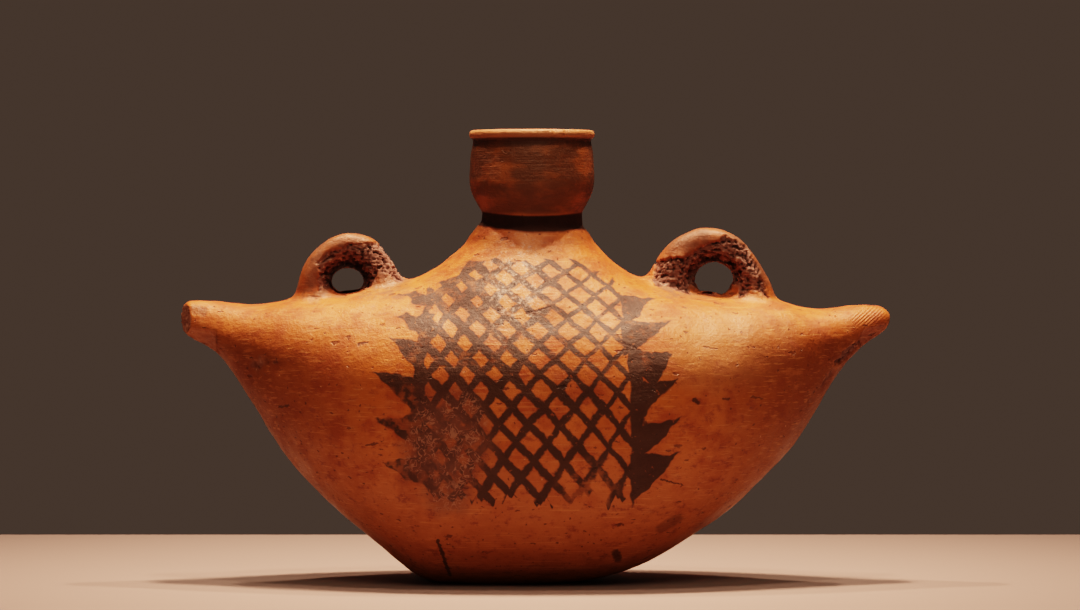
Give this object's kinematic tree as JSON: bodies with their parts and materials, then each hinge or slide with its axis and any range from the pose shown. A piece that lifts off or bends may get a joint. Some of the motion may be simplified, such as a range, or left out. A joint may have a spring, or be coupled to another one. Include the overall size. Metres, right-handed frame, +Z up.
{
  "type": "boat-shaped pottery jar",
  "caption": "Boat-shaped earthenware jar with horned ends, a cup-shaped mouth on a short neck, pierced shoulder lugs for a cord, and a painted net on its flanks.",
  "frame": {"origin": "middle of the jar's outline in plan, on the surface that it stands on", "axes": "+X along the length from the left horn to the right horn, -Y is the painted front, +Z up through the mouth"},
  "size_m": [0.248, 0.1, 0.1576],
  "materials": {
    "fired_clay": "unglazed orange earthenware, hand-burnished and worn, with matt black-brown painted net"
  },
  "bodies": {
    "root": {"jar": "fired_clay"}
  },
  "joints": []
}
